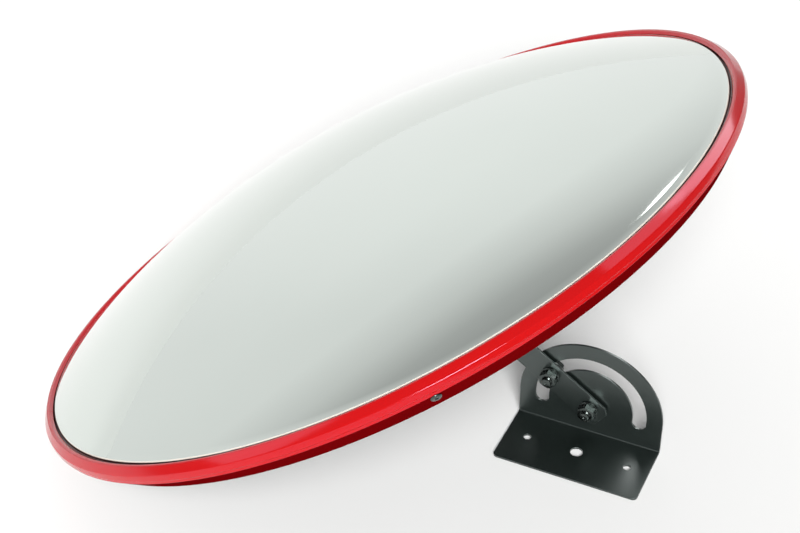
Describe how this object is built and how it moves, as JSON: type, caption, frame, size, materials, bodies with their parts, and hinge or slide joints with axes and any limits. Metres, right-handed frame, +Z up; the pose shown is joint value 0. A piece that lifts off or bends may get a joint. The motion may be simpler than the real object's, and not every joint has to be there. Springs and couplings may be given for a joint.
{
  "type": "convex security mirror",
  "caption": "Round convex security mirror with a coloured rim edging, leaned over a folded base bracket by a slotted tilting arm, a second tilt pin and a centre swivel.",
  "frame": {"origin": "underside of the bracket's base plate, on its centre line, 12 mm in front of the upright and clear of the holes", "axes": "+Z up out of the base plate, +X along the bracket's fold, +Y from the nuts towards the bolt heads; the mirror leans over -X"},
  "size_m": [0.5252, 0.6, 0.3084],
  "materials": {
    "bracket_coat": "satin powder coat",
    "hardware_zinc": "dark zinc plating",
    "screw_zinc": "bright zinc plating",
    "mirror_face": "polished",
    "edging_red": "gloss",
    "shell_plastic": "matte",
    "cushion_foam": "matte"
  },
  "bodies": {
    "bracket": {"bracket_plate": "bracket_coat"},
    "arm": {"tilt_arm": "bracket_coat", "pivot_bolt": "hardware_zinc", "pivot_back_washer": "hardware_zinc", "pivot_spacer": "hardware_zinc", "pivot_front_washer": "hardware_zinc", "pivot_nut": "hardware_zinc", "lock_bolt": "hardware_zinc", "lock_back_washer": "hardware_zinc", "lock_spacer": "hardware_zinc", "lock_front_washer": "hardware_zinc", "lock_nut": "hardware_zinc"},
    "head": {"head_bracket": "bracket_coat", "head_bolt": "hardware_zinc", "head_back_washer": "hardware_zinc", "head_front_washer": "hardware_zinc", "head_nut": "hardware_zinc"},
    "mirror": {"mirror_dome": "mirror_face", "cushion_ring": "cushion_foam", "back_shell": "shell_plastic", "rim_edging": "edging_red", "backing_disc": "bracket_coat", "swivel_bolt": "hardware_zinc", "swivel_spacer": "hardware_zinc", "swivel_washer": "hardware_zinc", "swivel_nut": "hardware_zinc", "disc_screw_1": "screw_zinc", "disc_screw_2": "screw_zinc", "disc_screw_3": "screw_zinc", "disc_screw_4": "screw_zinc", "disc_screw_5": "screw_zinc", "disc_screw_6": "screw_zinc", "edging_screw_1": "hardware_zinc", "edging_screw_2": "hardware_zinc", "edging_screw_3": "hardware_zinc"}
  },
  "joints": [
    {"name": "arm_tilt", "type": "hinge", "parent": "bracket", "child": "arm", "pos_m": [0, 0.012, 0.0285], "axis": [0, 1, 0], "range_deg": [-30, 140]},
    {"name": "head_tilt", "type": "hinge", "parent": "arm", "child": "head", "pos_m": [-0.1311, 0.01, 0.12026], "axis": [0, 1, 0], "range_deg": [-40, 25]},
    {"name": "mirror_swivel", "type": "hinge", "parent": "head", "child": "mirror", "pos_m": [-0.1775, -0.0005, 0.158], "axis": [-0.4924, 0, 0.8704], "continuous": true}
  ]
}
